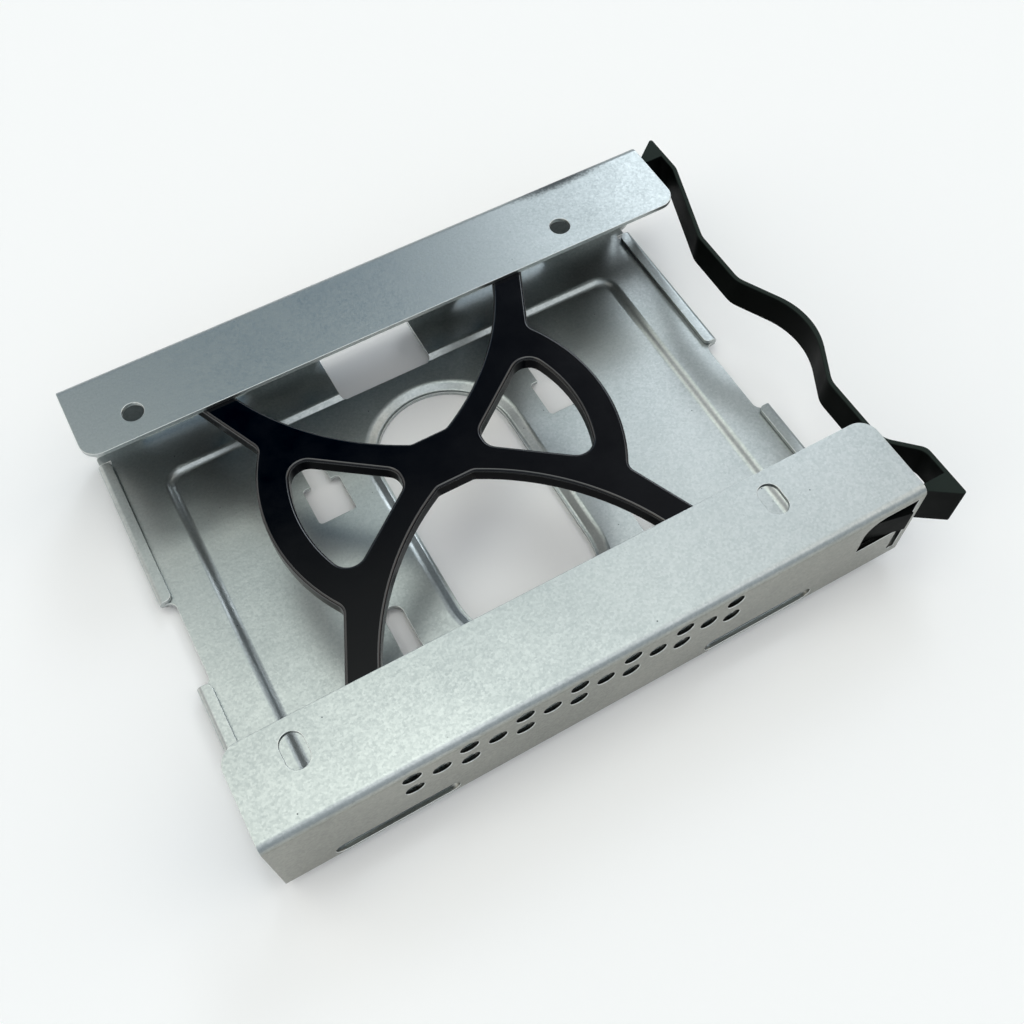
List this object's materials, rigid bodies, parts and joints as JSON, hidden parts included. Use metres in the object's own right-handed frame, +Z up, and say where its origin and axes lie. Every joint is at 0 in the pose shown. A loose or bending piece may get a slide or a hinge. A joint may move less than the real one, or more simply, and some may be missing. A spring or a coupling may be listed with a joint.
{
  "type": "ssd mounting bracket",
  "caption": "Folded zinc-coated steel drive tray with a pressed, pierced floor, vented walls, flanges with drive screw holes, a black plastic X brace and a springy pull handle.",
  "frame": {"origin": "middle of the part's length and width, on its lowest face", "axes": "+X along the flanges towards the pull handle, +Y towards the flange with round holes, +Z up out of the open mouth"},
  "size_m": [0.1136, 0.0862, 0.0208],
  "materials": {
    "zinc_steel": "satin",
    "gloss_black_plastic": "gloss",
    "satin_black_plastic": "satin"
  },
  "bodies": {
    "root": {"tray": "zinc_steel", "cross_brace": "gloss_black_plastic", "pull_handle": "satin_black_plastic"}
  },
  "joints": []
}
